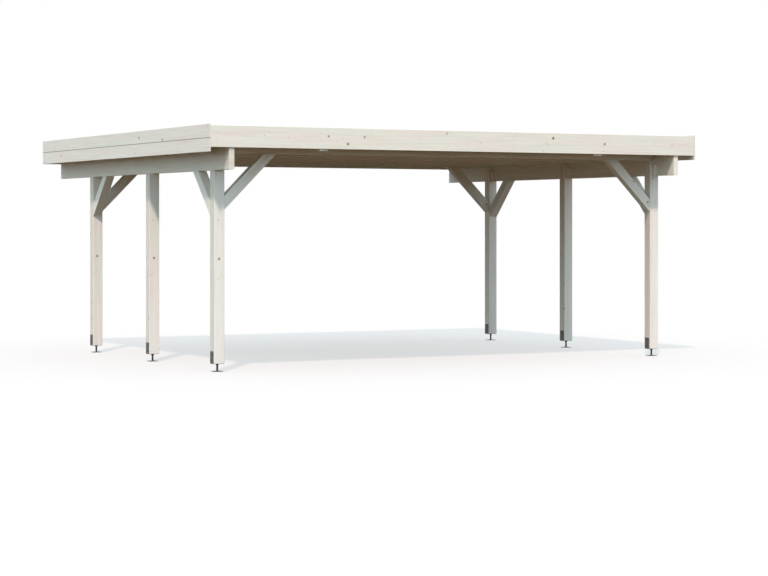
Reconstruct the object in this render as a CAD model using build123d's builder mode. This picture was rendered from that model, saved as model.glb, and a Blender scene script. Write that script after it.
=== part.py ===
from build123d import *
import math
import os

# Flat-roofed timber carport for two cars, an open frame on six posts.
# Millimetres, +Z up. X runs along the front and Y from the front to the back.
# The origin lies on the ground, below the middle of the roof.

# Roof outline over the fascia boards
roof_width = 6220
roof_depth = 5540

# Heights above the ground
post_foot = 90
beam_bottom = 2164
rafter_bottom = 2349
front_fascia_bottom = 2397
front_fascia_top = 2627

# Posts: square section, three on each side
post_size = 120
frame_width = 5750
front_post_setback = 426
post_spacing = 1930

# Side beams, housed in the outer half of the posts
beam_thickness = 60
beam_height = 236

# Diagonal braces at the corner posts
brace_depth = 104
brace_thickness = 100
beam_brace_foot = 1680
rafter_brace_foot = 1738

# Rafters, notched over the beams
rafter_thickness = 60
rafter_height = 160
bays_between_posts = 3

# Fascia boards
board_thickness = 19
board_height = 145
board_gap = 2

# Roof build-up: tapered strips, boarding and a sheet covering turned up at the edges
strip_thickness = 60
strip_front_height = 50
strip_rear_height = 5
strip_count = 7
boarding_thickness = 18
covering_thickness = 4
covering_upstand = 35
covering_gap = 1

# Rainwater outlet through the lowest part of the roof
outlet_x = 2620
outlet_y = 2600
outlet_bore = 70
outlet_wall = 2.5
outlet_flange = 150
outlet_bottom = 2400
outlet_clearance = 1
outlet_reach = 200

# Post shoes: a steel U on a threaded rod over a base plate
shoe_width = 80
shoe_plate = 5
shoe_height = 130
rod_diameter = 20
nut_across_flats = 30
nut_height = 16
base_plate_size = 100
base_hole_spacing = 70
base_hole_diameter = 11

# Arrises taken off the planed timber
arris = 4
board_arris = 2

# Places worked out from the sizes above
front_face = -roof_depth / 2
rear_face = roof_depth / 2
inner_width = roof_width - 2 * board_thickness
roof_front = front_face + board_thickness
roof_rear = rear_face - board_thickness
beam_top = beam_bottom + beam_height
rafter_top = rafter_bottom + rafter_height
outlet_pipe_radius = outlet_bore / 2 + outlet_wall
outlet_hole_radius = outlet_pipe_radius + outlet_clearance
post_x = frame_width / 2 - post_size / 2
beam_x = frame_width / 2 - beam_thickness / 2
front_post_y = front_face + front_post_setback + post_size / 2
post_rows = {
    "front": front_post_y,
    "middle": front_post_y + post_spacing,
    "rear": front_post_y + 2 * post_spacing,
}
sides = {"left": -1, "right": 1}
side_view = Plane((0, 0, 0), x_dir=(0, 1, 0), z_dir=(1, 0, 0))


def save(piece, name):
    piece.part.label = name
    export_step(piece.part, "parts/" + name + ".step")


def planed_section(width, height, edge):
    """Rectangle with its four corners taken off, as planed timber has."""
    with BuildSketch(mode=Mode.PRIVATE) as section:
        Rectangle(width, height)
        chamfer(section.vertices(), edge)
    return section.sketch


def make_post(side, row_y):
    """Square post. Its outer half stops at the beam and its inner half runs up beside it."""
    centre_x = sides[side] * post_x
    housing_x = sides[side] * beam_x
    with BuildPart() as post:
        with BuildSketch(Plane.XY.offset(post_foot)):
            with Locations((centre_x, row_y)):
                add(planed_section(post_size, post_size, arris))
        extrude(amount=rafter_bottom - post_foot)
        with Locations((housing_x, row_y, beam_bottom)):
            Box(beam_thickness, post_size, beam_height,
                align=(Align.CENTER, Align.CENTER, Align.MIN), mode=Mode.SUBTRACT)
    return post


def make_shoe(side, row_y):
    """Steel U under the post, with its rod, nut and drilled base plate."""
    centre_x = sides[side] * post_x
    outer = post_size + 2 * shoe_plate
    cup_bottom = post_foot - shoe_plate
    foot = Plane((centre_x, row_y, 0))
    with BuildPart() as shoe:
        with BuildSketch(foot):
            Rectangle(base_plate_size, base_plate_size)
            with GridLocations(base_hole_spacing, base_hole_spacing, 2, 2):
                Circle(base_hole_diameter / 2, mode=Mode.SUBTRACT)
        extrude(amount=shoe_plate)
        with BuildSketch(foot.offset(shoe_plate)):
            Circle(rod_diameter / 2)
        extrude(amount=cup_bottom - shoe_plate)
        with BuildSketch(foot.offset(cup_bottom - nut_height)):
            RegularPolygon(nut_across_flats / 2, 6, major_radius=False)
        extrude(amount=nut_height)
        with BuildSketch(Plane((centre_x, row_y, cup_bottom), x_dir=(1, 0, 0), z_dir=(0, -1, 0))):
            Rectangle(outer, shoe_plate + shoe_height, align=(Align.CENTER, Align.MIN))
            with Locations((0, shoe_plate)):
                Rectangle(post_size, shoe_height, align=(Align.CENTER, Align.MIN),
                          mode=Mode.SUBTRACT)
        extrude(amount=shoe_width / 2, both=True)
    return shoe


def make_beam(side):
    """Deep side beam from the front fascia to the rear one."""
    length = roof_depth - 2 * board_thickness
    middle = (sides[side] * beam_x, 0, beam_bottom + beam_height / 2)
    with BuildPart() as beam:
        with BuildSketch(Plane(middle, x_dir=(1, 0, 0), z_dir=(0, -1, 0))):
            add(planed_section(beam_thickness, beam_height, arris))
        extrude(amount=length / 2, both=True)
    return beam


def brace_outline(foot_height, top_height):
    """Brace at 45 degrees between an upright face at 0 and a level underside."""
    run = top_height - foot_height
    cut = brace_depth * math.sqrt(2)
    with BuildLine(mode=Mode.PRIVATE) as outline:
        Polyline((0, foot_height), (run, top_height), (run - cut, top_height),
                 (0, foot_height + cut), close=True)
    return outline.line


def make_beam_brace(side, row_y, direction):
    """Brace from a corner post along the beam, flush with the post's outer face."""
    middle_x = post_x + (post_size - brace_thickness) / 2
    face_y = row_y + direction * post_size / 2
    with BuildPart() as brace:
        with BuildSketch(Plane((sides[side] * middle_x, face_y, 0), x_dir=(0, direction, 0),
                               z_dir=(direction, 0, 0))):
            add(brace_outline(beam_brace_foot, beam_bottom))
            make_face()
        extrude(amount=brace_thickness / 2, both=True)
    return brace


def make_rafter_brace(side, row_y):
    """Brace from a corner post inwards, up to the rafter in the plane of the posts."""
    inward = -sides[side]
    face_x = sides[side] * (post_x - post_size / 2)
    with BuildPart() as brace:
        with BuildSketch(Plane((face_x, row_y, 0), x_dir=(inward, 0, 0),
                               z_dir=(0, -inward, 0))):
            add(brace_outline(rafter_brace_foot, rafter_bottom))
            make_face()
        extrude(amount=brace_thickness / 2, both=True)
    return brace


def make_rafter(row_y):
    """Rafter across the roof, notched to sit down over both beams."""
    notch = beam_top - rafter_bottom
    with BuildPart() as rafter:
        with BuildSketch(Plane((0, row_y, rafter_bottom + rafter_height / 2),
                               x_dir=(0, 1, 0), z_dir=(1, 0, 0))):
            add(planed_section(rafter_thickness, rafter_height, arris))
        extrude(amount=inner_width / 2, both=True)
        with Locations((-beam_x, row_y, rafter_bottom), (beam_x, row_y, rafter_bottom)):
            Box(beam_thickness, rafter_thickness, notch,
                align=(Align.CENTER, Align.CENTER, Align.MIN), mode=Mode.SUBTRACT)
    return rafter


def make_edge_rafter():
    """Shallow rafter on top of the beam ends, behind the front fascia."""
    height = rafter_top - beam_top
    row_y = front_face + board_thickness + rafter_thickness / 2
    with BuildPart() as rafter:
        with BuildSketch(Plane((0, row_y, beam_top + height / 2), x_dir=(0, 1, 0),
                               z_dir=(1, 0, 0))):
            add(planed_section(rafter_thickness, height, arris))
        extrude(amount=inner_width / 2, both=True)
    return rafter


def make_cross_board(face_y, bottom, height):
    """Fascia board along the front or the rear, between the side boards."""
    with BuildPart() as board:
        with BuildSketch(Plane((0, face_y, bottom + height / 2), x_dir=(0, 1, 0),
                               z_dir=(1, 0, 0))):
            add(planed_section(board_thickness, height, board_arris))
        extrude(amount=inner_width / 2, both=True)
    return board


def make_side_board(side, bottom):
    """Fascia board along one side, covering the ends of the cross boards."""
    board_x = sides[side] * (roof_width / 2 - board_thickness / 2)
    with BuildPart() as board:
        with BuildSketch(Plane((board_x, 0, bottom + board_height / 2), x_dir=(1, 0, 0),
                               z_dir=(0, -1, 0))):
            add(planed_section(board_thickness, board_height, board_arris))
        extrude(amount=roof_depth / 2, both=True)
    return board


def strip_top(y):
    """Height of the tapered strips' upper edge, which falls evenly to the rear."""
    share = (y - roof_front) / (roof_rear - roof_front)
    return rafter_top + strip_front_height + share * (strip_rear_height - strip_front_height)


def layer_profile(front_y, rear_y, low, high):
    """Outline of a roof layer seen from the side, between two heights above the strips."""
    with BuildLine(mode=Mode.PRIVATE) as outline:
        Polyline((front_y, strip_top(front_y) + low), (rear_y, strip_top(rear_y) + low),
                 (rear_y, strip_top(rear_y) + high), (front_y, strip_top(front_y) + high),
                 close=True)
    return outline.line


def make_strip(centre_x):
    """Tapered strip on the rafters, which gives the roof its fall."""
    with BuildPart() as strip:
        with BuildSketch(Plane((centre_x, 0, 0), x_dir=(0, 1, 0), z_dir=(1, 0, 0))):
            with BuildLine():
                Polyline((roof_front, rafter_top), (roof_rear, rafter_top),
                         (roof_rear, strip_top(roof_rear)), (roof_front, strip_top(roof_front)),
                         close=True)
            make_face()
        extrude(amount=strip_thickness / 2, both=True)
    return strip


def make_boarding():
    """Roof boarding laid on the tapered strips, as one slab."""
    with BuildPart() as boarding:
        with BuildSketch(side_view):
            add(layer_profile(roof_front, roof_rear, 0, boarding_thickness))
            make_face()
        extrude(amount=inner_width / 2, both=True)
        with Locations((outlet_x, outlet_y, rafter_top)):
            Cylinder(outlet_hole_radius, outlet_reach, mode=Mode.SUBTRACT)
    return boarding


def make_covering():
    """Roof sheet on the boarding, turned up along all four edges."""
    front_y = roof_front + covering_gap
    rear_y = roof_rear - covering_gap
    half_width = inner_width / 2 - covering_gap
    top = boarding_thickness + covering_upstand
    with BuildPart() as covering:
        with BuildSketch(side_view):
            add(layer_profile(front_y, rear_y, boarding_thickness, top))
            make_face()
        extrude(amount=half_width, both=True)
        with BuildSketch(side_view):
            add(layer_profile(front_y + covering_thickness, rear_y - covering_thickness,
                              boarding_thickness + covering_thickness, 2 * top))
            make_face()
        extrude(amount=half_width - covering_thickness, both=True, mode=Mode.SUBTRACT)
        with Locations((outlet_x, outlet_y, rafter_top)):
            Cylinder(outlet_hole_radius, outlet_reach, mode=Mode.SUBTRACT)
    return covering


def make_outlet():
    """Rainwater outlet: a flange on the roof sheet and a stub pipe below the boarding."""
    seat = boarding_thickness + covering_thickness
    flange_radius = outlet_flange / 2
    pipe_length = strip_top(outlet_y) + seat - outlet_bottom
    with BuildPart() as outlet:
        with BuildSketch(Plane((outlet_x, 0, 0), x_dir=(0, 1, 0), z_dir=(1, 0, 0))):
            add(layer_profile(outlet_y - flange_radius, outlet_y + flange_radius, seat,
                              seat + outlet_wall))
            make_face()
        extrude(amount=flange_radius, both=True)
        with Locations((outlet_x, outlet_y, rafter_top)):
            Cylinder(flange_radius, outlet_reach, mode=Mode.INTERSECT)
        with Locations((outlet_x, outlet_y, outlet_bottom)):
            Cylinder(outlet_pipe_radius, pipe_length,
                     align=(Align.CENTER, Align.CENTER, Align.MIN))
            Cylinder(outlet_bore / 2, outlet_reach,
                     align=(Align.CENTER, Align.CENTER, Align.MIN), mode=Mode.SUBTRACT)
    return outlet


for side in sides:
    for row, row_y in post_rows.items():
        save(make_post(side, row_y), side + "_" + row + "_post")
        save(make_shoe(side, row_y), side + "_" + row + "_post_shoe")
    save(make_beam(side), side + "_beam")
    for row, direction in (("front", 1), ("rear", -1)):
        row_y = post_rows[row]
        save(make_beam_brace(side, row_y, direction), side + "_" + row + "_beam_brace")
        save(make_rafter_brace(side, row_y), side + "_" + row + "_rafter_brace")
    save(make_side_board(side, rafter_bottom), side + "_fascia_lower")
    save(make_side_board(side, rafter_bottom + board_height + board_gap), side + "_fascia_upper")

rafter_step = post_spacing / bays_between_posts
rafter_rows = [front_post_y + index * rafter_step for index in range(2 * bays_between_posts + 2)]
rafter_rows.append(rear_face - board_thickness - rafter_thickness / 2)
save(make_edge_rafter(), "rafter_front_edge")
for number, row_y in enumerate(rafter_rows, start=1):
    save(make_rafter(row_y), "rafter_" + str(number))

front_board_y = front_face + board_thickness / 2
rear_board_y = rear_face - board_thickness / 2
front_board_height = front_fascia_top - front_fascia_bottom
save(make_cross_board(front_board_y, front_fascia_bottom, front_board_height), "front_fascia")
save(make_cross_board(rear_board_y, rafter_bottom, board_height), "rear_fascia_lower")
save(make_cross_board(rear_board_y, rafter_bottom + board_height + board_gap, board_height),
     "rear_fascia_upper")

strip_reach = inner_width - strip_thickness
for number in range(strip_count):
    centre_x = -strip_reach / 2 + number * strip_reach / (strip_count - 1)
    save(make_strip(centre_x), "fall_strip_" + str(number + 1))
save(make_boarding(), "roof_boarding")
save(make_covering(), "roof_covering")
save(make_outlet(), "roof_outlet")
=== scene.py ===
# %% [markdown]
# # A flat-roofed timber carport for two cars
# The solids of the carport come from CAD, to the millimetre. This lesson gives them their looks:
# planed spruce with grain and knots, galvanised post shoes, roof boards and a roofing sheet.
# Everything is in metres and in the solids' own frame: X along the front, Y to the back, Z up.

import math
import random

import bmesh
import bpy
from mathutils import Euler, Matrix, Vector


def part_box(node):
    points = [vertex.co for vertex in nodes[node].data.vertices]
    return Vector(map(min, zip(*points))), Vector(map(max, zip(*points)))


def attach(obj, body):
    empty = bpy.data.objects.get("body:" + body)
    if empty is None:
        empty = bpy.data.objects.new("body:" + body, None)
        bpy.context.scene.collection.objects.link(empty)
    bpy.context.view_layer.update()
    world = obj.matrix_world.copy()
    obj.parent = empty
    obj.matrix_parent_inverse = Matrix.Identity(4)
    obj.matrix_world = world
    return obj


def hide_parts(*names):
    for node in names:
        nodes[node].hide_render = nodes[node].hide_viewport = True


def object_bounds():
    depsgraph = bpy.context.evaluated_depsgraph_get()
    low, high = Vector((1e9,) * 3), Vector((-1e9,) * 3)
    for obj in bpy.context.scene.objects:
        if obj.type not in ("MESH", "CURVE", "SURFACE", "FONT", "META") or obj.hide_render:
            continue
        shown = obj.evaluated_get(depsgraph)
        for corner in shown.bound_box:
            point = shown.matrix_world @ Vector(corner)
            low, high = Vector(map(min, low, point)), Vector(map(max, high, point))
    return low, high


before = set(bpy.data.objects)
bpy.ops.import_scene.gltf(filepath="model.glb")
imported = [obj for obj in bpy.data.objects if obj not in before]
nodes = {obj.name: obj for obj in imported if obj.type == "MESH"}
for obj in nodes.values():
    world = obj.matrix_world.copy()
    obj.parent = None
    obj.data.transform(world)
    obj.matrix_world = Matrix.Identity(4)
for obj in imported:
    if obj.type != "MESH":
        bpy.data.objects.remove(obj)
cad_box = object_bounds()
half_width, half_depth, _ = cad_box[1]
print(len(nodes), "solids, from", tuple(cad_box[0]), "to", tuple(cad_box[1]))

# %% [markdown]
# ## The camera
# The picture was taken with a long lens from the front left, at about head height, with the camera
# held level: all posts stand upright in it. A level camera keeps them so, and a small lens shift
# places the horizon above the middle of the picture, which tilting the camera would not do.

# %% Place the camera
lens_data = bpy.data.cameras.new("camera")
lens_data.sensor_width = 36
lens_data.lens = 98.79
lens_data.shift_x = -0.0754
lens_data.shift_y = -0.0853
lens_data.clip_end = 1000
camera = bpy.data.objects.new("camera", lens_data)
camera.location = (-11.5896, -23.3204, 1.6034)
camera.rotation_euler = (math.radians(90), 0, math.radians(-28.727))
bpy.context.scene.collection.objects.link(camera)
bpy.context.scene.camera = camera
print("camera", round(camera.location.length, 2), "m from the origin")

# %% [markdown]
# ## Shader sums in Python
# A shader is a network of nodes, and writing one out link by link is hard to read. This class wraps
# one socket, so that `1 - mask * 2` adds the Math nodes by itself. Every other node comes from its
# one method `node`: the settings are set first, because some of them change which sockets exist.


# %% A socket that Python can do sums with
class Wire:
    """One socket of a shader, with arithmetic."""

    def __init__(self, tree, socket=None):
        self.tree = tree
        self.socket = socket

    def node(self, kind, settings=None, inputs=None, output=0):
        """Adds a node and returns one of its outputs."""
        made = self.tree.nodes.new(kind)
        for name, value in (settings or {}).items():
            if name == "stops":
                stops = made.color_ramp.elements
                while len(stops) < len(value):
                    stops.new(0.5)
                for stop, (place, grey) in zip(stops, value):
                    stop.position = place
                    stop.color = (grey, grey, grey, 1)
            else:
                setattr(made, name, value)
        for key, value in (inputs or {}).items():
            if isinstance(value, Wire):
                self.tree.links.new(value.socket, made.inputs[key])
            else:
                made.inputs[key].default_value = value
        return Wire(self.tree, made.outputs[output] if made.outputs else None)

    def sum(self, operation, *values):
        """Adds a Math node."""
        return self.node("ShaderNodeMath", {"operation": operation}, dict(enumerate(values)))

    def __add__(self, other):
        return self.sum("ADD", self, other)

    def __radd__(self, other):
        return self.sum("ADD", other, self)

    def __sub__(self, other):
        return self.sum("SUBTRACT", self, other)

    def __rsub__(self, other):
        return self.sum("SUBTRACT", other, self)

    def __mul__(self, other):
        return self.sum("MULTIPLY", self, other)

    def __rmul__(self, other):
        return self.sum("MULTIPLY", other, self)

    def __abs__(self):
        return self.sum("ABSOLUTE", self)


print("sockets can be added, subtracted and multiplied")

# %% [markdown]
# Colours and vectors have three parts, and a Math node would make one number of them. They go
# through Mix and Vector Math nodes instead, which these helpers add.


# %% Helpers for numbers, colours and vectors
def smooth(value, start, end):
    """0 before start and 1 after end, with a soft step between."""
    return value.node("ShaderNodeMapRange", {"interpolation_type": "SMOOTHSTEP"},
                      {0: value, 1: start, 2: end, 3: 0.0, 4: 1.0})


def blend(factor, first, second):
    """Two colours mixed by a factor."""
    return factor.node("ShaderNodeMix", {"data_type": "RGBA"},
                       {0: factor, 6: first, 7: second}, output=2)


def tinted(colour, tint):
    """A colour multiplied by a tint."""
    return colour.node("ShaderNodeMix", {"data_type": "RGBA", "blend_type": "MULTIPLY"},
                       {0: 1.0, 6: colour, 7: tint}, output=2)


def vectors(operation, first, *others, output=0):
    """One Vector Math node. Its output 1 is a number, such as a length."""
    return first.node("ShaderNodeVectorMath", {"operation": operation},
                      dict(enumerate((first, *others))), output)


def scaled(vector, scale):
    """A vector with each of its axes stretched."""
    return vectors("MULTIPLY", vector, scale)


def cloudy(vector, scale, detail=2.0, output=0):
    """Soft noise around 0.5. Its output 1 is a colour, three noises in one."""
    return vector.node("ShaderNodeTexNoise", {}, {"Vector": vector, "Scale": scale,
                                                  "Detail": detail}, output)


def bumpy(height, strength, distance):
    """Normals that tilt with a height, for the shader's Normal."""
    return height.node("ShaderNodeBump", {}, {"Strength": strength, "Distance": distance,
                                              "Height": height})


print("helpers ready for numbers, colours and vectors")


# %% A new finish
def new_finish(name):
    """An empty material, its shader node and a wire with the surface's own place."""
    material = bpy.data.materials.new(name)
    material.use_nodes = True
    tree = material.node_tree
    tree.nodes.clear()
    start = Wire(tree)
    shader = start.node("ShaderNodeBsdfPrincipled")
    start.node("ShaderNodeOutputMaterial", {}, {"Surface": shader})
    place = start.node("ShaderNodeTexCoord", output=3)
    return material, shader.socket.node, place


def plug(shader, **wires):
    """Links or sets sockets of the shader node, named with _ for a space."""
    for name, value in wires.items():
        socket = shader.inputs[name.replace("_", " ")]
        if isinstance(value, Wire):
            value.tree.links.new(value.socket, socket)
        else:
            socket.default_value = value


def dress(node, material):
    """Gives a solid its finish."""
    mesh = nodes[node].data
    mesh.materials.clear()
    mesh.materials.append(material)


print("finish helpers ready")

# %% [markdown]
# ## Planed spruce
# Each timber is cut from a log, so its grain is a set of rings round a pith line that runs along
# the piece, close to it or inside it. Painting lines on each face could not make them meet at the
# edges, so the rings are a solid pattern: the distance from the pith, bent a little by noise. A cut
# along them gives long streaks, and a cut across gives arcs, all from one formula.

# %% Colours and sizes of the wood
EARLY_WOOD = (0.800, 0.772, 0.700, 1)
LATE_WOOD = (0.640, 0.590, 0.490, 1)
ROSY = (1.000, 0.965, 0.940, 1)
MOSSY = (0.965, 1.000, 0.955, 1)
KNOT_CORE = (0.150, 0.095, 0.060, 1)
KNOT_HALO = (0.560, 0.430, 0.310, 1)
SEAM_DIRT_AND_SHADE = (0.055, 0.048, 0.04, 1)
RING_WIDTH = 0.0036
LATE_WOOD_IN_A_YEAR = [(0.0, 0.25), (0.12, 0.0), (0.55, 0.1), (0.9, 0.75), (1.0, 0.25)]
STREAK_SCALE = 42.0
FIBRE_SCALE = 420.0
PATCH_SCALE = 11.0
RAGGED_SCALE = 160.0
KNOT_RIM = 0.004
HALO_WIDTH = 0.024
print("a year ring is", RING_WIDTH * 1000, "mm wide")


# %% A point's place in the log
WOBBLE = 0.06
WOBBLE_SCALE = (1.6, 1.6, 0.7)


def in_the_log(place, centre, angles, pith, start):
    """Coordinates whose Z axis is the pith, which passes beside the centre of the piece."""
    heart = Vector((*pith, start))
    heart.rotate(angles)
    return place.node("ShaderNodeMapping", {"vector_type": "TEXTURE"},
                      {0: place, 1: Vector(centre) + heart, 2: tuple(angles)})


def across_the_log(local):
    """The way from the pith to a point, square to the pith, with the wobble of a real trunk."""
    wobble = cloudy(scaled(local, WOBBLE_SCALE), 1.0, 1.0, output=1)
    return scaled(vectors("MULTIPLY_ADD", wobble, (WOBBLE, WOBBLE, 0), local), (1, 1, 0))


print("rings follow the pith")

# %% [markdown]
# Glued timbers have lamellas, each sawn from another log. Cutting the solid into lamellas would
# only add faces. The pattern counts them along one axis instead: each one draws a random number,
# which moves its rings to another part of the log, and a thin glue line shows between each two.

# %% Glued lamellas
GLUE_LINE = 0.0009
LOG_SHIFT = (0.11, -0.07, 3.1)


def glued(place, local, lamella, seed):
    """The place in each lamella's own log, the lamella's random number, and its glue lines."""
    axis, thickness, first = lamella
    layer = (vectors("DOT_PRODUCT", place, axis, output=1) - first) * (1 / thickness)
    edge = abs(layer.sum("FRACT", layer) - 0.5)
    glue = smooth(edge, 0.5 - GLUE_LINE / thickness, 0.5)
    luck = layer.node("ShaderNodeTexWhiteNoise", {"noise_dimensions": "1D"},
                      {"W": layer.sum("FLOOR", layer) + seed})
    shift = luck.node("ShaderNodeCombineXYZ", {},
                      {index: luck * part for index, part in enumerate(LOG_SHIFT)})
    return vectors("ADD", local, shift), luck, glue


print("lamellas ready")

# %% [markdown]
# Knots are the roots of branches, so they are cones that start at the pith. A cell pattern on the
# directions round the pith gives such cones everywhere at random. A cell's random number, less
# the share of bare cells, makes its knot large or small, or leaves it out. Where the real timber
# has a knot that catches the eye, its place and size are written down.

# %% Knots
PITH_REACH = 0.075
CELLS_PER_METRE = 5.2
BARE_SHARE = 0.62
KNOT_GROWTH = 0.05


def from_knots(place, local, across, knots, knotty):
    """The distance from the rim of the nearest knot."""
    reach = (PITH_REACH, PITH_REACH, 0)
    branch = vectors("MULTIPLY_ADD", vectors("NORMALIZE", across), reach,
                     scaled(local, (0, 0, 1)))
    cells = {"Vector": branch, "Scale": CELLS_PER_METRE, "Randomness": 0.9}
    near = branch.node("ShaderNodeTexVoronoi", {}, cells)
    chance = branch.node("ShaderNodeTexVoronoi", {}, cells, output=1)
    chance = chance.node("ShaderNodeSeparateColor", {}, {0: chance})
    away = near * (1 / CELLS_PER_METRE) - (chance - BARE_SHARE) * (KNOT_GROWTH * knotty)
    for x, y, z, size in knots:
        spot = vectors("DISTANCE", place, (x, y, z), output=1)
        away = away.sum("MINIMUM", away, spot - size)
    return away


print("knots ready")

# %% [markdown]
# One function now makes the finish of any timber. Late wood is darker and a little glossier than
# early wood, fibres stand up from the planed face, end grain is darker, and painted dirt and shade
# darken the joint between two boards. Each of these is a mask of about 0 to 1, so the same mask
# can mix a colour and also take part in the sums for roughness and bump.


# %% One finish for any timber
def timber(name, centre, turn, pith, knots=(), knotty=1.0, lamella=None, tone=(1, 1, 1),
           seed=0.0, seam=None):
    """Planed spruce. turn carries Z to the grain, pith is where the log's heart passes beside
    the centre, lamella is an axis, a thickness and a first edge, and seam is a joint's height."""
    material, shader, place = new_finish(name)
    angles = Euler([math.radians(angle) for angle in turn])
    local = in_the_log(place, centre, angles, pith, seed * 1.7)
    if lamella:
        local, luck, glue = glued(place, local, lamella, seed)
    across = across_the_log(local)
    away = from_knots(place, local, across, knots, knotty)
    ragged = cloudy(local, RAGGED_SCALE)
    core = 1 - smooth(away + ragged * 0.004, 0.0, KNOT_RIM)
    halo = 1 - smooth(away + ragged * 0.010, 0.0, HALO_WIDTH)

    streaks = cloudy(scaled(local, (1, 1, 0.045)), STREAK_SCALE, 3.0)
    fibres = cloudy(scaled(local, (1, 1, 0.03)), FIBRE_SCALE, 2.0)
    radius = vectors("LENGTH", across, output=1)
    years = radius * (1 / RING_WIDTH) + streaks * 1.3 + halo * halo * 2.2
    years = years.sum("FRACT", years)
    late = years.node("ShaderNodeValToRGB", {"stops": LATE_WOOD_IN_A_YEAR}, {0: years})
    dark = late * 0.42 + (streaks - 0.42) * 1.05 + (fibres - 0.5) * 0.35
    if lamella:
        dark = dark + (luck - 0.5) * 0.22 + glue * 0.7

    colour = blend(dark, EARLY_WOOD, LATE_WOOD)
    patches = cloudy(scaled(local, (1, 1, 0.12)), PATCH_SCALE, 1.0)
    colour = blend(smooth(patches, 0.35, 0.65), tinted(colour, ROSY), tinted(colour, MOSSY))
    colour = blend(halo * 0.65, colour, KNOT_HALO)
    colour = blend(core, colour, KNOT_CORE)
    grain = Vector((0, 0, 1))
    grain.rotate(angles)
    normal = place.node("ShaderNodeNewGeometry", output=1)
    end_grain = smooth(abs(vectors("DOT_PRODUCT", normal, grain, output=1)), 0.6, 0.9)
    colour = tinted(blend(end_grain * 0.3, colour, LATE_WOOD), (*tone, 1))
    # Painted dirt and shade: a dark band along the joint between two boards.
    if seam:
        level = place.node("ShaderNodeSeparateXYZ", {}, {0: place}, output=2)
        dirt_and_shade = 1 - smooth(abs(level - seam), 0.001, 0.005)
        colour = blend(dirt_and_shade * 0.75, colour, SEAM_DIRT_AND_SHADE)

    plug(shader, Base_Color=colour, Roughness=0.62 - late * 0.08 + core * 0.1,
         Normal=bumpy(late * 0.3 + fibres * 0.7 - core * 0.5, 0.25, 0.0008),
         IOR=1.45, Specular_IOR_Level=0.3)
    return material


print("one timber formula for", sum("shoe" not in name for name in nodes), "solids")

# %% [markdown]
# ## Posts
# The six posts are glued from three lamellas. Each post gets a material of its own, because its
# log, its knots and its tone differ from the next one's, and only a copy of the network holds its
# own numbers. The tones are partly the wood's own and partly painted fill light, which lifts faces
# that stand in the roof's shade. A knot is given by its place on the face and its radius. A radius
# of 0 or less still leaves a faint one, because the halo round a knot is wider than its core.

# %% Dress the posts
random.seed(11)
UPRIGHT = (0, 0, 0)
TO_BACK = (-90, 0, 0)
TO_RIGHT = (0, 90, 0)
POST_LAMELLA = 0.04
POST_KNOTS = {
    "left_front_post": [(-2.819, -2.344, 1.212, 0.010), (-2.829, -2.344, 1.630, 0.002),
                        (-2.788, -2.344, 1.874, -0.001), (-2.829, -2.344, 1.005, 0.001)],
    "left_middle_post": [(-2.820, -0.414, 1.194, 0.010), (-2.829, -0.414, 1.630, 0.001),
                         (-2.846, -0.414, 1.001, 0.001), (-2.875, -0.327, 1.193, 0.005),
                         (-2.875, -0.395, 0.825, 0.003), (-2.875, -0.379, 0.497, 0.008)],
    "left_rear_post": [(-2.827, 1.516, 1.190, 0.010), (-2.842, 1.516, 0.994, 0.001),
                       (-2.875, 1.618, 1.461, 0.008), (-2.875, 1.585, 0.617, 0.005),
                       (-2.875, 1.552, 0.420, 0.005)],
    "right_front_post": [(2.794, -2.344, 2.127, 0.005), (2.785, -2.344, 2.335, 0.005)],
    "right_middle_post": [(2.755, -0.327, 1.193, 0.006), (2.755, -0.395, 0.825, 0.005),
                          (2.755, -0.405, 0.502, 0.008)],
    "right_rear_post": [(2.755, 1.618, 1.461, 0.007), (2.755, 1.585, 0.617, 0.006),
                        (2.755, 1.552, 0.420, 0.005)],
}
# Tones per post, partly the wood's own and partly painted fill light for faces in shade.
POST_TONES_AND_FILL_LIGHT = {
    "left_front_post": (1.03, 1.05, 1.10), "left_middle_post": (1.09, 1.10, 1.16),
    "left_rear_post": (1.11, 1.12, 1.18), "right_front_post": (1.09, 1.09, 1.14),
    "right_middle_post": (1.15, 1.11, 1.14), "right_rear_post": (1.15, 1.10, 1.13),
}


def middle_of(node):
    """The middle of a solid's box."""
    low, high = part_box(node)
    return (low + high) / 2


def dress_timber(node, turn, pith, **looks):
    """Gives a solid spruce of its own, with a random stretch of the log."""
    dress(node, timber(node + "_spruce", middle_of(node), turn, pith, seed=random.random(),
                       **looks))


for name, tone in POST_TONES_AND_FILL_LIGHT.items():
    pith = (random.uniform(-0.03, 0.03), random.uniform(0.02, 0.05))
    dress_timber(name, UPRIGHT, pith, knots=POST_KNOTS[name], knotty=0.75,
                 lamella=((1, 0, 0), POST_LAMELLA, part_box(name)[0].x), tone=tone)
print(len(POST_TONES_AND_FILL_LIGHT), "posts dressed")

# %% [markdown]
# ## Beams, rafters and tapered strips
# The deep beams are glued from six lamellas laid flat, so theirs are counted upwards. The rafters
# and the strips on them are plain sawn timber. They differ only in their logs.

# %% Dress the roof's frame
BEAM_LAMELLA = 0.0394
BEAM_PITH = (0.04, 0.03)
BEAM_KNOTS = {"left_beam": [(-2.845, -2.751, 2.239, 0.001)]}
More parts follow.
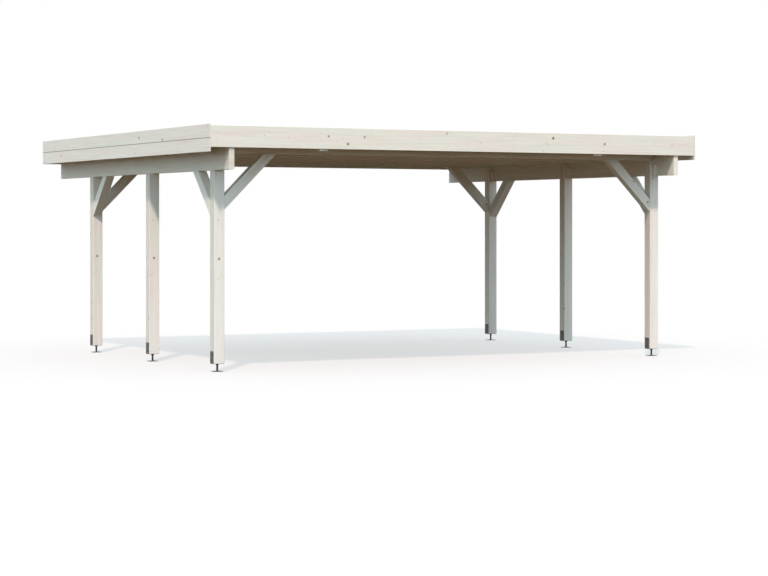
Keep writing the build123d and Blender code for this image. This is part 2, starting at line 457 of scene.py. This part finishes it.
# The right beam's higher tone is partly painted fill light on its shaded inner face.
BEAM_TONES_AND_FILL_LIGHT = {"left_beam": (0.95, 0.955, 0.95), "right_beam": (1.08, 1.08, 1.08)}
for name, tone in BEAM_TONES_AND_FILL_LIGHT.items():
    dress_timber(name, TO_BACK, BEAM_PITH, knots=BEAM_KNOTS.get(name, ()), knotty=0.5,
                 lamella=((0, 0, 1), BEAM_LAMELLA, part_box(name)[0].z), tone=tone)
for name in sorted(nodes):
    pith = (random.uniform(-0.05, 0.05), random.uniform(-0.05, 0.05))
    if name.startswith("rafter"):
        dress_timber(name, TO_RIGHT, pith, knotty=0.9, tone=(0.98, 0.98, 0.98))
    if name.startswith("fall_strip"):
        dress_timber(name, TO_BACK, pith, knotty=0.9, tone=(0.95, 0.95, 0.95))
print("beams, rafters and strips dressed")

# %% [markdown]
# ## Braces
# The grain of a brace runs along it, at 45 degrees. The same formula serves: only the turn from
# upright to the grain is another one, forward or back for a brace to the beam, and sideways for
# one to a rafter.

# %% Dress the braces
BRACE_TONE = (1.04, 1.05, 1.07)
BRACE_KNOTS = {"right_front_rafter_brace": [(2.519, -2.334, 2.091, 0.005),
                                            (2.728, -2.334, 1.849, 0.009)],
               "right_rear_rafter_brace": [(2.724, 1.526, 1.851, 0.008)]}
INWARD = {"left": 1, "right": -1}
TO_MIDDLE = {"front": 1, "rear": -1}
for side, inward in INWARD.items():
    for row, back in TO_MIDDLE.items():
        for kind, turn in (("beam", (-45 * back, 0, 0)), ("rafter", (0, 45 * inward, 0))):
            name = side + "_" + row + "_" + kind + "_brace"
            pith = (random.uniform(-0.02, 0.03), random.uniform(0.02, 0.05))
            dress_timber(name, turn, pith, knots=BRACE_KNOTS.get(name, ()), knotty=0.5,
                         tone=BRACE_TONE)
print("braces dressed")

# %% [markdown]
# ## Fascia boards
# The boards round the roof are what one sees first, so their knots matter most. The front and the
# left boards have theirs at given places, and random ones would only disturb them. The joint
# between an upper and a lower board is dark, so painted dirt and shade run along it on
# both boards.

# %% Dress the fascia boards
HALF_JOINT = 0.001
FASCIA_KNOTS = {
    "front_fascia": [(-1.721, -2.770, 2.534, 0.008), (-1.288, -2.770, 2.535, 0.008),
                     (-1.488, -2.770, 2.455, 0.011), (-1.554, -2.770, 2.512, -0.001),
                     (-2.475, -2.770, 2.533, -0.001), (-2.190, -2.770, 2.510, -0.002),
                     (-0.261, -2.770, 2.593, 0.006), (0.171, -2.770, 2.502, 0.001),
                     (1.129, -2.770, 2.568, 0.013), (1.048, -2.770, 2.501, 0.001),
                     (0.991, -2.770, 2.416, 0.001), (1.830, -2.770, 2.513, 0.010),
                     (2.511, -2.770, 2.527, 0.001), (2.778, -2.770, 2.520, 0.001)],
    "left_fascia_upper": [(-3.110, -0.700, 2.563, 0.012), (-3.110, -1.426, 2.515, 0.011),
                          (-3.110, 1.816, 2.542, 0.003), (-3.110, 2.274, 2.542, 0.003)],
    "left_fascia_lower": [(-3.110, 2.024, 2.437, 0.008), (-3.110, -0.565, 2.391, 0.006)],
}
for name in sorted(name for name in nodes if "fascia" in name):
    low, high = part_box(name)
    if name.startswith(("left", "right")):
        turn, pith, tone = TO_BACK, (0.055, 0.01), (0.95, 0.945, 0.97)
    else:
        turn, pith, tone = TO_RIGHT, (random.uniform(-0.02, 0.02), 0.055), (0.97, 0.965, 0.97)
    # The height of the joint that gets the painted dirt and shade.
    joint = {"lower": high.z + HALF_JOINT, "upper": low.z - HALF_JOINT}
    dress_timber(name, turn, pith, knots=FASCIA_KNOTS.get(name, ()),
                 knotty=0.0 if name in FASCIA_KNOTS else 0.7, tone=tone,
                 seam=joint.get(name.split("_")[-1]))
print("all timber dressed:", len(bpy.data.materials), "materials")

# %% [markdown]
# ## Galvanised steel
# The shoes are hot-dip galvanised: zinc freezes in crystals, each of which reflects a little
# differently, and turns a dull grey outdoors. A cell pattern gives the crystals, and its random
# colour changes each one's brightness and roughness. New screws are brighter than old zinc.

# %% Dress the shoes and the outlet
DARK_CRYSTAL = (0.57, 0.55, 0.53)
PALE_CRYSTAL = (1.28, 1.23, 1.18)


def galvanised(name, tone, crystal_size):
    """Zinc with crystals of a given size."""
    material, shader, place = new_finish(name)
    crystals = place.node("ShaderNodeTexVoronoi", {}, {"Vector": place,
                                                       "Scale": 1 / crystal_size}, output=1)
    crystals = crystals.node("ShaderNodeSeparateColor", {}, {0: crystals})
    dull = cloudy(place, 28.0, 4.0)
    colour = blend(crystals * 0.35 + dull * 0.65, (*(tone * part for part in DARK_CRYSTAL), 1),
                   (*(tone * part for part in PALE_CRYSTAL), 1))
    plug(shader, Base_Color=colour, Roughness=0.42 + dull * 0.25 + crystals * 0.06,
         Metallic=0.75, Normal=bumpy(crystals * 0.4 + dull * 0.6, 0.2, 0.0006))
    return material


zinc = galvanised("dull_zinc", 0.13, 0.007)
screw_zinc = galvanised("bright_zinc", 0.42, 0.002)
for name in nodes:
    if name.endswith("_shoe") or name == "roof_outlet":
        dress(name, zinc)
print("steel dressed")

# %% [markdown]
# ## Roofing sheet
# The sheet is dark and matt, with fine grit. Dust dries in pale rims where rainwater stood, so a
# slow noise with a soft limit paints a few such ponds, a little smoother than the rest.

# %% Dress the roofing
NEW_SHEET = (0.045, 0.046, 0.048, 1)
DUSTY_SHEET = (0.105, 0.103, 0.098, 1)
DRIED_POND = (0.14, 0.132, 0.12, 1)


def roofing(name):
    """Dark roofing sheet with grit, dust and dried ponds."""
    material, shader, place = new_finish(name)
    dust = cloudy(place, 1.7, 5.0)
    grit = cloudy(place, 260.0, 2.0)
    ponds = smooth(cloudy(scaled(place, (1, 0.6, 1)), 0.9, 2.0), 0.5, 0.62)
    colour = blend(ponds * 0.2, blend(dust, NEW_SHEET, DUSTY_SHEET), DRIED_POND)
    plug(shader, Base_Color=colour, Roughness=0.68 + grit * 0.14 - ponds * 0.05,
         Normal=bumpy(grit * 0.5 + dust * 2.0, 0.3, 0.001))
    return material


sheet = roofing("dark_roofing")
dress("roof_covering", sheet)
print("roofing dressed")

# %% [markdown]
# ## Shapes that the solids leave out
# The solids stop at the size of a board or a shoe. Screws, threads, welds and the joints between
# roof boards are added here. Each one is a small mesh that starts from a primitive or an outline,
# is shaped by bmesh operators, and is then copied to every place that the real one has it.


# %% Helpers that shape small parts
def block(size, middle, edge=0.002):
    """A planed block with its edges taken off."""
    shape = bmesh.new()
    bmesh.ops.create_cube(shape, size=1)
    bmesh.ops.scale(shape, vec=size, verts=shape.verts)
    bmesh.ops.bevel(shape, geom=shape.edges[:], offset=edge, segments=1, profile=0.5,
                    affect="EDGES", material=-1)
    bmesh.ops.translate(shape, vec=middle, verts=shape.verts)
    return shape


def turned(outline, steps=16):
    """A shape of revolution round Z, from points of radius and height."""
    shape = bmesh.new()
    corners = [shape.verts.new((radius, 0, height)) for radius, height in outline]
    lines = [shape.edges.new(pair) for pair in zip(corners, corners[1:])]
    bmesh.ops.spin(shape, geom=corners + lines, cent=(0, 0, 0), axis=(0, 0, 1),
                   angle=2 * math.pi, steps=steps, use_merge=True)
    bmesh.ops.remove_doubles(shape, verts=shape.verts, dist=1e-6)
    bmesh.ops.recalc_face_normals(shape, faces=shape.faces)
    return shape


print("blocks and turned parts ready")


# %% Helpers that place them
def facing(point, direction, spin=0.0):
    """The place of a small part whose own Z points along a direction."""
    turn = Vector(direction).to_track_quat("Z", "Y").to_matrix().to_4x4()
    return Matrix.Translation(point) @ turn @ Matrix.Rotation(spin, 4, "Z")


def gather(shapes, places=(Matrix.Identity(4),)):
    """One shape from several, copied to every place."""
    whole = bmesh.new()
    scrap = bpy.data.meshes.new("scrap")
    for place in places:
        for shape in shapes:
            copy = shape.copy()
            bmesh.ops.transform(copy, matrix=place, verts=copy.verts)
            copy.to_mesh(scrap)
            copy.free()
            whole.from_mesh(scrap)
    bpy.data.meshes.remove(scrap)
    return whole


def finished(name, shape, finish):
    """Turns a shape into a piece that rides with the frame."""
    mesh = bpy.data.meshes.new(name)
    shape.to_mesh(mesh)
    shape.free()
    mesh.materials.append(finish)
    piece = bpy.data.objects.new(name, mesh)
    bpy.context.scene.collection.objects.link(piece)
    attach(piece, "root")
    print(name, len(mesh.polygons), "faces")
    return piece


# %% [markdown]
# ## Roof boards
# Seen from below, the roof is a row of tongue-and-groove boards with a V between each two. One
# board is a block with its two lower edges bevelled. Copies of it fill the slab's own box, and a
# shear tilts them all along the fall, which keeps their ends upright as the slab's are.

# %% The roof's fall
slab_low, slab_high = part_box("roof_boarding")
BOARD_THICKNESS = 0.018
FALL = (slab_high.z - slab_low.z - BOARD_THICKNESS) / (slab_high.y - slab_low.y)
ROOF_TILT = Matrix.Identity(4)
ROOF_TILT[2][1] = -FALL
ROOF_TILT[2][3] = slab_high.z - BOARD_THICKNESS + slab_low.y * FALL


def tilted(shape):
    """Tilts a level shape, whose Z starts at the underside of the boards, along the fall."""
    bmesh.ops.transform(shape, matrix=ROOF_TILT, verts=shape.verts)
    return shape


print("the roof falls", round(FALL * 1000, 1), "mm in a metre")

# %% Lay the roof boards
BOARD_COUNT = 45
BOARD_GAP = 0.0002
BOARD_BEVEL = 0.0035
board_width = (slab_high.y - slab_low.y) / BOARD_COUNT
board = bmesh.new()
bmesh.ops.create_cube(board, size=1)
bmesh.ops.scale(board, vec=(slab_high.x - slab_low.x, board_width - BOARD_GAP, BOARD_THICKNESS),
                verts=board.verts)
lower_edges = [edge for edge in board.edges
               if all(corner.co.z < 0 for corner in edge.verts)
               and edge.verts[0].co.y == edge.verts[1].co.y]
bmesh.ops.bevel(board, geom=lower_edges, offset=BOARD_BEVEL, segments=2, profile=0.5,
                affect="EDGES", material=-1)
rows = [Matrix.Translation((0, slab_low.y + (i + 0.5) * board_width, BOARD_THICKNESS / 2))
        for i in range(BOARD_COUNT)]
board_spruce = timber("roof_board_spruce", (0, 0, slab_low.z + 0.02), TO_RIGHT, (-0.05, 0.01),
                      knotty=1.2, lamella=((0, 1, 0), board_width, slab_low.y), seed=0.37)
roof_boards = finished("roof_boards", tilted(gather([board], rows)), board_spruce)
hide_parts("roof_boarding")

# %% [markdown]
# The outlet pipe passes through the boards, so they need its hole. A Boolean modifier cuts it, and
# the cut mesh is kept in place of the whole one, so that no modifier and no cutter stay behind.

# %% Cut the outlet's hole
HOLE_RADIUS = 0.0385
DRILL_REACH = 0.1
outlet_middle = middle_of("roof_outlet")
drill = turned([(0, -DRILL_REACH), (HOLE_RADIUS, -DRILL_REACH), (HOLE_RADIUS, DRILL_REACH),
                (0, DRILL_REACH)], 48)
bmesh.ops.translate(drill, vec=(outlet_middle.x, outlet_middle.y, slab_low.z),
                    verts=drill.verts)
drill_mesh = bpy.data.meshes.new("drill")
drill.to_mesh(drill_mesh)
drill.free()
cutter = bpy.data.objects.new("drill", drill_mesh)
bpy.context.scene.collection.objects.link(cutter)
hole = roof_boards.modifiers.new("outlet_hole", "BOOLEAN")
hole.operation = "DIFFERENCE"
hole.object = cutter
hole.solver = "EXACT"
hole.use_self = True
bpy.context.view_layer.update()
cut_boards = roof_boards.evaluated_get(bpy.context.evaluated_depsgraph_get())
cut_mesh = bpy.data.meshes.new_from_object(cut_boards)
whole_mesh = roof_boards.data
roof_boards.modifiers.clear()
roof_boards.data = cut_mesh
bpy.data.meshes.remove(whole_mesh)
bpy.data.objects.remove(cutter)
print("roof boards after the cut:", len(cut_mesh.polygons), "faces")

# %% [markdown]
# ## Laps and edge bars of the roofing
# A sheet this wide is joined from strips. Each lap is a flat band, raised by the thickness of the
# sheet, and runs down the fall. Thin metal bars clamp the turned-up edges to the fascia. All are
# flat blocks, made level and then tilted with the roof.

# %% Laps of the sheet
SHEET_THICKNESS = 0.004
SHEET_TOP = BOARD_THICKNESS + SHEET_THICKNESS
LAP_HEIGHT = 0.0016
LAP_WIDTH = 0.05
LAP_SHORTER = 0.0092
cover_low, cover_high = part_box("roof_covering")
lap_length = cover_high.y - cover_low.y - LAP_SHORTER
laps = gather([block((LAP_WIDTH, lap_length, LAP_HEIGHT), (x, 0, SHEET_TOP + LAP_HEIGHT / 2),
                     0.0005) for x in (-1.55, 0.02, 1.57)])
finished("roof_sheet_laps", tilted(laps), sheet)

# %% Edge bars and their screws
BAR_HEIGHT = 0.024
BAR_THICKNESS = 0.002
BAR_SHORTER = 0.02
BAR_LEVEL = 0.0165
SCREWS_IN_A_BAR = 19
inner_x = cover_high.x - SHEET_THICKNESS
inner_y = cover_high.y - SHEET_THICKNESS
bar_z = SHEET_TOP + BAR_LEVEL
bars = []
for sign in (-1, 1):
    bars.append(block((BAR_THICKNESS, 2 * inner_y - BAR_SHORTER, BAR_HEIGHT),
                      (sign * (inner_x - BAR_THICKNESS / 2), 0, bar_z), 0.0006))
    bars.append(block((2 * inner_x - BAR_SHORTER, BAR_THICKNESS, BAR_HEIGHT),
                      (0, sign * (inner_y - BAR_THICKNESS / 2), bar_z), 0.0006))
finished("edge_clamping_bars", tilted(gather(bars)), screw_zinc)

pan_head = turned([(0, 0.0022), (0.0022, 0.0021), (0.0038, 0.0013), (0.0044, 0.0), (0, 0.0)], 12)
bar_places = []
for step in range(SCREWS_IN_A_BAR):
    along = -1 + (step + 0.5) * 2 / SCREWS_IN_A_BAR
    for sign in (-1, 1):
        bar_places.append(facing((sign * (inner_x - BAR_THICKNESS), along * inner_y, bar_z),
                                 (-sign, 0, 0)))
        bar_places.append(facing((along * inner_x, sign * (inner_y - BAR_THICKNESS), bar_z),
                                 (0, -sign, 0)))
bar_screws = gather([pan_head], [ROOF_TILT @ place for place in bar_places])
finished("edge_bar_screws", bar_screws, screw_zinc)

# %% [markdown]
# ## Post shoes up close
# The solid shoe has a plain rod. The real one is threaded, so that a post can be levelled, and it
# is welded to its base plate. The thread is a zigzag outline spun round the rod's axis: its ridges
# are rings and not a helix, which nobody can tell at this pitch, and spinning is far simpler.

# %% Thread and weld
THREAD_FOOT = 0.0105
THREAD_PITCH = 0.0025
THREAD_RIDGES = 23
ROD_RADIUS = 0.010
inside = ROD_RADIUS - 0.001
thread_line = [(inside, 0.010)]
for ridge in range(THREAD_RIDGES):
    level = THREAD_FOOT + ridge * THREAD_PITCH
    thread_line += [(ROD_RADIUS + 0.0002, level),
                    (ROD_RADIUS + 0.0011, level + THREAD_PITCH * 0.4),
                    (ROD_RADIUS + 0.0011, level + THREAD_PITCH * 0.6)]
thread_line += [(inside, level + THREAD_PITCH), thread_line[0]]
weld_line = [(inside, 0.0115), (ROD_RADIUS + 0.0012, 0.0110), (ROD_RADIUS + 0.0042, 0.0082),
             (ROD_RADIUS + 0.0060, 0.0050), (inside, 0.0050), (inside, 0.0115)]
foot = gather([turned(thread_line, 20), turned(weld_line, 28)])
print("one foot has", len(foot.faces), "faces")

# %% [markdown]
# Each side plate of a shoe is held by two screws with hexagon heads, on washers. A washer is spun
# from its outline, and a head is a circle of six corners, extruded and bevelled at its rim. The
# heads are turned at random, as a spanner leaves them.

# %% One screw with a hexagon head
HEAD_RADIUS = 0.0075
HEAD_HEIGHT = 0.0073
washer = turned([(0.004, 0.0), (0.0105, 0.0), (0.0110, 0.0004), (0.0110, 0.0014),
                 (0.0105, 0.0018), (0.004, 0.0018), (0.004, 0.0)], 24)
hexagon = bmesh.new()
bmesh.ops.create_circle(hexagon, cap_ends=True, segments=6, radius=HEAD_RADIUS)
grown = bmesh.ops.extrude_face_region(hexagon, geom=hexagon.faces[:])
top = [part for part in grown["geom"] if isinstance(part, bmesh.types.BMVert)]
bmesh.ops.translate(hexagon, vec=(0, 0, HEAD_HEIGHT), verts=top)
rim = [edge for edge in hexagon.edges
       if all(corner.co.z > HEAD_HEIGHT / 2 for corner in edge.verts)]
bmesh.ops.bevel(hexagon, geom=rim, offset=0.0011, segments=2, profile=0.5, affect="EDGES",
                material=-1)
bmesh.ops.recalc_face_normals(hexagon, faces=hexagon.faces)
hex_screw = gather([washer, hexagon])
print("one hexagon screw has", len(hex_screw.faces), "faces")

# %% Fit threads and screws to every shoe
SHOE_FACE = 0.065
SHOE_SCREWS = ((-0.018, 0.125), (0.018, 0.185))
POSTS = [(side, row, middle_of(side + "_" + row + "_post"))
         for side in ("left", "right") for row in ("front", "middle", "rear")]
for side, row, middle in POSTS:
    under = Matrix.Translation((middle.x, middle.y, 0))
    finished(side + "_" + row + "_rod_thread", gather([foot], [under]), zinc)
    heads = [facing((middle.x + sign * SHOE_FACE, middle.y + sign * y, z), (sign, 0, 0),
                    random.uniform(0, 1)) for sign in (-1, 1) for y, z in SHOE_SCREWS]
    finished(side + "_" + row + "_shoe_screws", gather([hex_screw], heads), zinc)

# %% [markdown]
# ## Fixings of the frame
# Two screws hold each beam to the tongue of each post, and two go through each end of a brace.
# Their heads lie flush with the wood, so one low turned shape serves for all.

# %% Screws through the tongues of the posts
POST_HALF = 0.06
TONGUE_SCREWS = ((-0.025, 2.215), (0.025, 2.300))
flush_head = turned([(0, 0.0001), (0.0016, 0.0001), (0.0019, 0.0006), (0.0052, 0.0007),
                     (0.0060, 0.0003), (0.0061, -0.0006), (0, -0.0006)], 16)
tongue_heads = [facing((middle.x + INWARD[side] * POST_HALF, middle.y + y, z),
                       (INWARD[side], 0, 0), random.uniform(0, 1))
                for side, row, middle in POSTS for y, z in TONGUE_SCREWS]
finished("post_tongue_screws", gather([flush_head], tongue_heads), screw_zinc)

# %% [markdown]
# A brace leans, so its screws are placed in its own directions: along it, across its lower face,
# and down out of it. They are worked out from the direction in which the brace leads away from its
# post, which is the same sum for a brace to the beam and for one to a rafter.

# %% Screws through the braces
SLOPE = math.sqrt(0.5)
FROM_END = 0.045
FROM_AXIS = 0.02
UP = Vector((0, 0, 1))
brace_heads = []
for side, row, middle in POSTS:
    if row == "middle":
        continue
    for kind, run in (("beam", Vector((0, TO_MIDDLE[row], 0))),
                      ("rafter", Vector((INWARD[side], 0, 0)))):
        low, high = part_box(side + "_" + row + "_" + kind + "_brace")
        start = (low + high) / 2
        start -= run * start.dot(run)
        start += run * (middle.dot(run) + POST_HALF)
        start.z = low.z
        along = (run + UP) * SLOPE
        down = (run - UP) * SLOPE
        sideways = run.cross(UP)
        length = (high.z - low.z) / SLOPE
        for distance in (FROM_END, length - FROM_END):
            for offset in (-FROM_AXIS, FROM_AXIS):
                brace_heads.append(facing(start + along * distance + sideways * offset, down))
finished("brace_screws", gather([flush_head], brace_heads), screw_zinc)

# %% [markdown]
# The fascia is held by small countersunk screws: on the sides a pair wherever a rafter ends behind
# a board, and at the front and the rear a pair or three at even steps.

# %% Screws of the fascia boards
FROM_EDGE = 0.032
END_COLUMN = 3.02
small_head = turned([(0, 0.0001), (0.0009, 0.0001), (0.0011, 0.0004), (0.0030, 0.0004),
                     (0.0036, 0.0001), (0.0037, -0.0005), (0, -0.0005)], 10)
rafter_rows = sorted(middle_of(name).y for name in nodes if name.startswith("rafter"))
for side, sign in (("left", -1), ("right", 1)):
    for layer in ("lower", "upper"):
        low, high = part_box(side + "_fascia_" + layer)
        heads = [facing((sign * half_width, row, z), (sign, 0, 0))
                 for row in rafter_rows for z in (low.z + FROM_EDGE, high.z - FROM_EDGE)]
        finished(side + "_fascia_" + layer + "_screws", gather([small_head], heads), screw_zinc)
columns = [-END_COLUMN + index * 2 * END_COLUMN / 10 for index in range(11)]
for name, sign, levels in (("front_fascia", -1, (2.425, 2.485, 2.560)),
                           ("rear_fascia_lower", 1, (2.385, 2.460)),
                           ("rear_fascia_upper", 1, (2.512, 2.600))):
    heads = [facing((x, sign * half_depth, z), (0, sign, 0)) for x in columns for z in levels]
    finished(name + "_screws", gather([small_head], heads), screw_zinc)

# %% [markdown]
# ## Blocks and cleats
# A short block stands in the corner between each post and its beam. Two small cleats hang below
# the front edge rafter, right behind the fascia, each with a stub of batten at its outer end. They
# are planed blocks, with the same spruce as the rest.

# %% Corner blocks
BLOCK_SIZE = (0.040, 0.056, 0.134)
BLOCK_INWARD = 0.02
BLOCK_FORWARD = 0.088
BLOCK_LEVEL = 2.231
for side, row, middle in POSTS:
    name = side + "_" + row + "_corner_block"
    where = Vector((middle.x + INWARD[side] * BLOCK_INWARD, middle.y - BLOCK_FORWARD,
                    BLOCK_LEVEL))
    spruce = timber(name + "_spruce", where, UPRIGHT, (0.03, 0.02), knotty=0.0,
                    tone=(1.1, 1.1, 1.1), seed=random.random())
    finished(name, block(BLOCK_SIZE, where), spruce)

# %% Cleats
CLEAT_SIZE = (0.066, 0.045, 0.023)
STUB_SIZE = (0.033, 0.053, 0.025)
for side, sign, x in (("left", -1, -1.747), ("right", 1, 1.732)):
    name = "front_cleat_" + side
    cleat = block(CLEAT_SIZE, (x, -2.7205, 2.3885))
    stub = block(STUB_SIZE, (x + sign * 0.0495, -2.7245, 2.3875))
    spruce = timber(name + "_spruce", (x, -2.72, 2.39), TO_RIGHT, (0.03, 0.02), knotty=0.0,
                    tone=(1.05, 1.05, 1.05), seed=random.random())
    finished(name, gather([cleat, stub]), spruce)

# %% [markdown]
# ## Light
# The carport stands in clear daylight: one sun from the front left, halfway up the sky, and a pale
# even sky. Several lamps would cast several shadows. The sky is a little blue for the light that
# it gives, which colours the shaded faces, and white where it is seen.

# %% Sun
TO_SUN = Vector((-0.368, -0.518, 0.773))
sun_data = bpy.data.lights.new("sun", "SUN")
sun_data.energy = 2.78
sun_data.color = (1.0, 0.81, 0.745)
sun_data.angle = math.radians(3)
sun = bpy.data.objects.new("sun", sun_data)
sun.rotation_euler = TO_SUN.to_track_quat("Z", "Y").to_euler()
bpy.context.scene.collection.objects.link(sun)
print("sun at", round(math.degrees(math.asin(TO_SUN.normalized().z))), "degrees up")

# %% Sky
WHITE = (1, 1, 1, 1)
SKY_BLUE = (0.70, 0.88, 1.0, 1)
SKY_STRENGTH = 1.38


def seen_rays(wire):
    """1 for rays that show the background itself: the camera's, mirrored and clear ones."""
    seen = [wire.node("ShaderNodeLightPath", output=kind)
            for kind in ("Is Camera Ray", "Is Glossy Ray", "Is Transmission Ray")]
    return wire.sum("MAXIMUM", wire.sum("MAXIMUM", seen[0], seen[1]), seen[2])


sky = bpy.data.worlds.new("sky")
bpy.context.scene.world = sky
sky.use_nodes = True
sky.node_tree.nodes.clear()
above = Wire(sky.node_tree)
strength = SKY_STRENGTH - (SKY_STRENGTH - 1) * seen_rays(above)
glow = above.node("ShaderNodeBackground", {}, {0: blend(seen_rays(above), SKY_BLUE, WHITE),
                                               1: strength})
above.node("ShaderNodeOutputWorld", {}, {0: glow})
print("sky of", len(sky.node_tree.nodes), "nodes")

# %% [markdown]
# ## Floor
# The floor is a square so large that its edges never show. It is pale to the eye, partly by a glow
# of its own, so that it meets the white background and still keeps the carport's shadow. To all
# other rays it is warm brown, because the light that a floor throws up colours the underside of
# the roof.

# %% Floor
FLOOR_REACH = 300
WARM_BROWN = (0.105, 0.065, 0.034, 1)
WARM_GREY = (0.63, 0.59, 0.56, 1)
GLOW_SHARE = 0.6
floor_shape = bmesh.new()
bmesh.ops.create_grid(floor_shape, x_segments=1, y_segments=1, size=FLOOR_REACH)
floor_mesh = bpy.data.meshes.new("floor")
floor_shape.to_mesh(floor_mesh)
floor_shape.free()
floor = bpy.data.objects.new("floor", floor_mesh)
bpy.context.scene.collection.objects.link(floor)

floor_paint = bpy.data.materials.new("pale_floor")
floor_paint.use_nodes = True
floor_paint.node_tree.nodes.clear()
below = Wire(floor_paint.node_tree)
warm_floor = below.node("ShaderNodeBsdfDiffuse", {}, {0: WARM_BROWN})
grey_floor = below.node("ShaderNodeBsdfDiffuse", {}, {0: WARM_GREY})
white_glow = below.node("ShaderNodeEmission", {}, {0: WHITE, 1: 1.0})
pale_floor = below.node("ShaderNodeMixShader", {}, {0: GLOW_SHARE, 1: grey_floor,
                                                    2: white_glow})
surface = below.node("ShaderNodeMixShader", {}, {0: seen_rays(below), 1: warm_floor,
                                                 2: pale_floor})
below.node("ShaderNodeOutputMaterial", {}, {0: surface})
floor_mesh.materials.append(floor_paint)
print("floor of", 2 * FLOOR_REACH, "m")

# %% [markdown]
# ## The view transform
# The view transform is the plain one, which shows a colour about as it is written.

# %% Finish
bpy.context.scene.view_settings.view_transform = "Standard"
